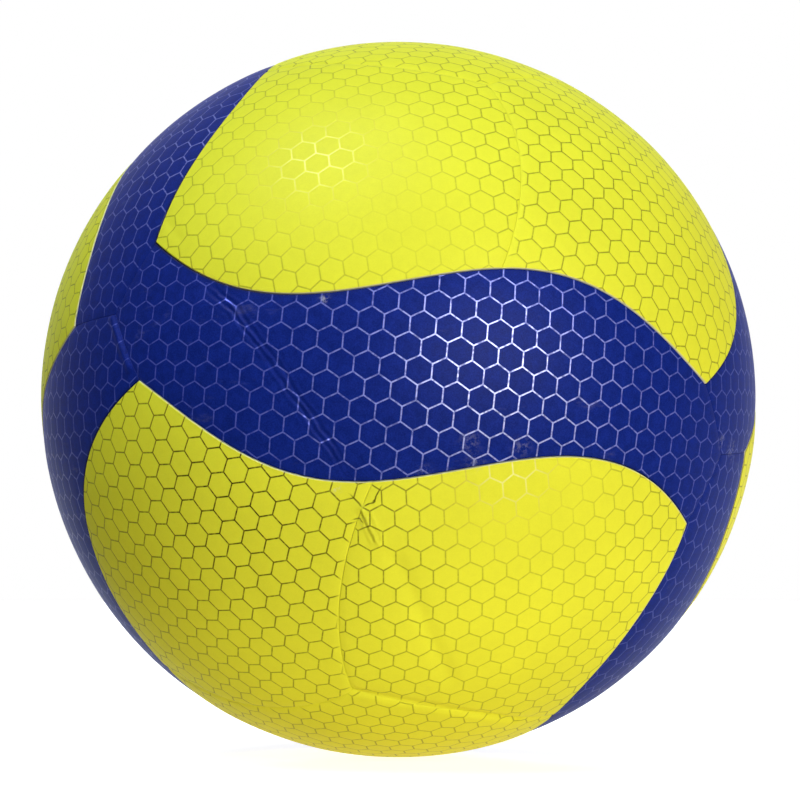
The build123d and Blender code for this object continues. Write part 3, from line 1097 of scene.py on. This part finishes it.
def thread_material():
    """Nylon thread wound over the bladder in crossing layers, set in latex."""
    material, w, shader = new_material("wound_thread")
    place = w.add("ShaderNodeTexCoord").outputs["Object"]
    strands = []
    for turn in ((0.4, 0.2, 0.0), (1.5, 0.9, 0.3), (0.8, 2.1, 1.1)):
        mapping = w.add("ShaderNodeMapping")
        mapping.inputs["Rotation"].default_value = turn
        w.put(mapping.inputs["Vector"], place)
        wave = w.add("ShaderNodeTexWave", wave_type="BANDS")
        wave.inputs["Scale"].default_value = 380.0
        wave.inputs["Distortion"].default_value = 1.2
        w.put(wave.inputs["Vector"], mapping.outputs[0])
        strands.append(wave.outputs["Fac"])
    top = w.math("MAXIMUM", w.math("MAXIMUM", strands[0], strands[1]), strands[2])
    w.put(shader["Base Color"], w.colour(top, (0.45, 0.4, 0.28, 1.0), (0.86, 0.85, 0.8, 1.0)))
    w.put(shader["Roughness"], w.spread(top, 0.0, 1.0, 0.8, 0.5))
    w.put(shader["Normal"], w.bump(top, 0.0003, strength=0.6))
    return material


def dress(node, material):
    """Gives a CAD node a finish."""
    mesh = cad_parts[node].data
    mesh.materials.clear()
    mesh.materials.append(material)


def half_gaps(cover):
    """Half the width of a border and of a joint, in degrees seen from the ball's centre."""
    return [math.degrees(gap / 2 / BALL_RADIUS) for gap in (cover.border_gap, cover.joint_gap)]


class BALL_OT_blue_bands(bpy.types.Operator):
    """Models the six blue bands, with their honeycomb and creases and the valve's hole"""

    bl_idname = "ball.blue_bands"
    bl_label = "Blue bands"

    def execute(self, context):
        cover = context.scene.ball_cover
        look = {
            "pitch": cover.blue_pitch, "wear": 0.6, "mottle": 0.25, "border_darkening": 0.3, "scuff": 0.1,
            "rough": 0.42, "foil_rough": 0.32, "shine": 0.02, "metal": 0.15,
        }
        foil = (cover.foil_on_blue, cover.half_painted_gleam_on_blue, cover.painted_gleam_on_blue)
        material = cover_material("blue_skin", cover.blue, foil, cover.blue_edge_and_gap_shade, cover, look)
        size = (BAND_LENGTH_MM, BAND_WIDTH_MM)
        blank = panel_blank("band_blank", band_sides(*half_gaps(cover)), size, BAND_CENTRE, BAND_ALONG, cover)
        for node, matrix in BAND_TURNS.items():
            piece = panel_copy(blank, node, matrix, material, cover)
            if node == "blue_back":
                drill_valve_hole(piece, cover.valve_hole)
        bpy.data.objects.remove(blank)
        return {"FINISHED"}


class BALL_OT_yellow_panels(bpy.types.Operator):
    """Models the twelve yellow panels, with their honeycomb and the valleys where they meet"""

    bl_idname = "ball.yellow_panels"
    bl_label = "Yellow panels"

    def execute(self, context):
        cover = context.scene.ball_cover
        look = {
            "pitch": cover.yellow_pitch, "wear": 0.3, "mottle": 0.025, "border_darkening": 0.06, "scuff": 0.03,
            "rough": 0.45, "foil_rough": 0.35, "shine": 0.018, "metal": 0.05,
        }
        foil = (cover.foil_on_yellow, cover.half_painted_gleam_on_yellow, cover.painted_gleam_on_yellow)
        material = cover_material("yellow_skin", cover.yellow, foil, cover.yellow_edge, cover, look)
        sides = yellow_sides(*half_gaps(cover))
        ends = np.array([0.0, 1.0])
        centre = unit(np.sum([sides[0](ends), sides[1](ends)], axis=(0, 1)))
        tip = sides[3](ends)[1]
        along = unit(tip - centre * (tip @ centre))
        size = (YELLOW_SIDE_MM, YELLOW_SIDE_MM)
        blank = panel_blank("yellow_blank", sides, size, centre, along, cover)
        for node, matrix in YELLOW_TURNS.items():
            panel_copy(blank, node, matrix, material, cover)
        bpy.data.objects.remove(blank)
        return {"FINISHED"}


class BALL_OT_inner_layers(bpy.types.Operator):
    """Finishes the carcass, the thread winding and the bladder under the cover"""

    bl_idname = "ball.inner_layers"
    bl_label = "Inner layers"

    def execute(self, context):
        dress("rubber_carcass", rubber_material("carcass_rubber", (0.42, 0.34, 0.2, 1.0), 0.7, 900.0))
        dress("thread_winding", thread_material())
        dress("bladder", rubber_material("bladder_butyl", (0.02, 0.02, 0.022, 1.0), 0.5, 1500.0))
        return {"FINISHED"}


class BALL_OT_valve(bpy.types.Operator):
    """Finishes the valve's housing and its core"""

    bl_idname = "ball.valve"
    bl_label = "Valve"

    def execute(self, context):
        dress("valve_housing", rubber_material("housing_rubber", (0.025, 0.025, 0.027, 1.0), 0.55, 3000.0))
        dress("valve_core", rubber_material("core_rubber", (0.05, 0.05, 0.053, 1.0), 0.45, 3500.0))
        return {"FINISHED"}


def seen_directly(w):
    """1 for what the camera sees, also in a reflection or through glass, and 0 for other light."""
    seen = w.add("ShaderNodeLightPath").outputs
    mirrored = w.math("MAXIMUM", seen["Is Glossy Ray"], seen["Is Transmission Ray"])
    return w.math("MAXIMUM", seen["Is Camera Ray"], mirrored)


def floor_material(glow):
    """White floor that keeps the ball's shadow. It throws a warm light up, more from its right side."""
    material, w, shader = new_material("white_floor")
    white = seen_directly(w)
    parts = w.add("ShaderNodeSeparateXYZ")
    w.put(parts.inputs[0], w.add("ShaderNodeTexCoord").outputs["Object"])
    lit_side = w.spread(parts.outputs[0], -0.3, 0.06, 0.0, 1.0)
    bounce = w.vector("SCALE", (0.5, 0.43, 0.33), scale=lit_side)
    w.put(shader["Base Color"], w.colour(white, bounce, (0.8, 0.8, 0.8, 1.0)))
    shader["Roughness"].default_value = 1.0
    shader["Specular IOR Level"].default_value = 0.0
    w.put(shader["Emission Color"], w.colour(white, (1.15, 0.99, 0.76, 1.0), (1.0, 1.0, 1.0, 1.0)))
    glow_up = w.math("MULTIPLY", lit_side, glow)
    w.put(shader["Emission Strength"], w.spread(white, 0.0, 1.0, glow_up, 0.8, smooth=False))
    return material


def white_world(ambient):
    """White surroundings for the camera and reflections, and a plain light from all round."""
    world = bpy.data.worlds.new("studio")
    bpy.context.scene.world = world
    world.use_nodes = True
    w = Wires(world.node_tree)
    world.node_tree.nodes.clear()
    white = seen_directly(w)
    back = w.add("ShaderNodeBackground")
    back.inputs["Color"].default_value = (1.0, 1.0, 1.0, 1.0)
    w.put(back.inputs["Strength"], w.spread(white, 0.0, 1.0, ambient, 1.0, smooth=False))
    output = w.add("ShaderNodeOutputWorld")
    world.node_tree.links.new(back.outputs[0], output.inputs[0])


def aim(obj, direction):
    """Turns a lamp or camera to look along a direction."""
    obj.rotation_mode = "QUATERNION"
    obj.rotation_quaternion = Vector(direction).to_track_quat("-Z", "Y")


class BALL_OT_stage(bpy.types.Operator):
    """Sets up the floor, the lights and the camera"""

    bl_idname = "ball.stage"
    bl_label = "Stage"

    def execute(self, context):
        stage = context.scene.ball_stage
        bpy.ops.object.select_all(action="DESELECT")
        bpy.ops.mesh.primitive_circle_add(
            vertices=96, radius=FLOOR_RADIUS, fill_type="NGON", location=(0, 0, CAD_BOX[0].z - FLOOR_GAP)
        )
        floor = context.object
        floor.name = "floor"
        floor.data.materials.append(floor_material(stage.floor_glow))

        white_world(stage.ambient)
        skin, shine, both = (True, False), (False, True), (True, True)
        lamps = (
            ("top_light", stage.top_strength, (0.87, 1.0, 0.97), (-0.33, -0.2, 0.92), 40, both),
            ("front_light", stage.front_strength, (1.0, 1.0, 1.0), (0.3, -0.95, 0.05), 40, both),
            ("back_light", stage.back_strength, (1.0, 1.0, 1.0), (0.0, 0.98, 0.18), 10, skin),
            ("top_shine", stage.top_shine, (1.0, 1.0, 1.0), (-0.27, -0.2, 0.93), 40, shine),
            ("front_shine", stage.front_shine, (1.0, 1.0, 1.0), (0.4, -0.87, 0.22), 40, shine),
        )
        for name, strength, tint, source, width, (lights_skin, is_mirrored) in lamps:
            lamp = bpy.data.objects.new(name, bpy.data.lights.new(name, "SUN"))
            lamp.data.energy = strength
            lamp.data.color = tint
            lamp.data.angle = math.radians(width)
            lamp.visible_diffuse = lights_skin
            lamp.visible_glossy = is_mirrored
            context.collection.objects.link(lamp)
            aim(lamp, -Vector(source))

        camera = bpy.data.objects.new("camera", bpy.data.cameras.new("camera"))
        context.collection.objects.link(camera)
        camera.data.lens = stage.lens
        camera.data.shift_x, camera.data.shift_y = stage.shift
        camera.data.clip_start = 0.01
        back = Vector((
            math.sin(stage.azimuth) * math.cos(stage.elevation),
            -math.cos(stage.azimuth) * math.cos(stage.elevation),
            math.sin(stage.elevation),
        ))
        camera.location = back * stage.distance
        aim(camera, -back)
        context.scene.camera = camera
        context.scene.view_settings.view_transform = "Standard"
        return {"FINISHED"}


class BALL_PT_panel(bpy.types.Panel):
    """Lists the ball's settings and the pieces to make"""

    bl_label = "Panel volleyball"
    bl_space_type = "VIEW_3D"
    bl_region_type = "UI"
    bl_category = "Ball"

    def draw(self, context):
        for name in CoverSettings.__annotations__:
            self.layout.prop(context.scene.ball_cover, name)
        for name in StageSettings.__annotations__:
            self.layout.prop(context.scene.ball_stage, name)
        for operator in OPERATORS:
            self.layout.operator(operator.bl_idname)


OPERATORS = (
    BALL_OT_blue_bands,
    BALL_OT_yellow_panels,
    BALL_OT_inner_layers,
    BALL_OT_valve,
    BALL_OT_stage,
)
CLASSES = (CoverSettings, StageSettings) + OPERATORS + (BALL_PT_panel,)


def register():
    for cls in CLASSES:
        bpy.utils.register_class(cls)
    bpy.types.Scene.ball_cover = bpy.props.PointerProperty(type=CoverSettings)
    bpy.types.Scene.ball_stage = bpy.props.PointerProperty(type=StageSettings)


def unregister():
    del bpy.types.Scene.ball_stage
    del bpy.types.Scene.ball_cover
    for cls in reversed(CLASSES):
        bpy.utils.unregister_class(cls)


def main():
    register()
    bpy.ops.ball.blue_bands()
    bpy.ops.ball.yellow_panels()
    bpy.ops.ball.inner_layers()
    bpy.ops.ball.valve()
    bpy.ops.ball.stage()


if __name__ == "__main__":
    main()
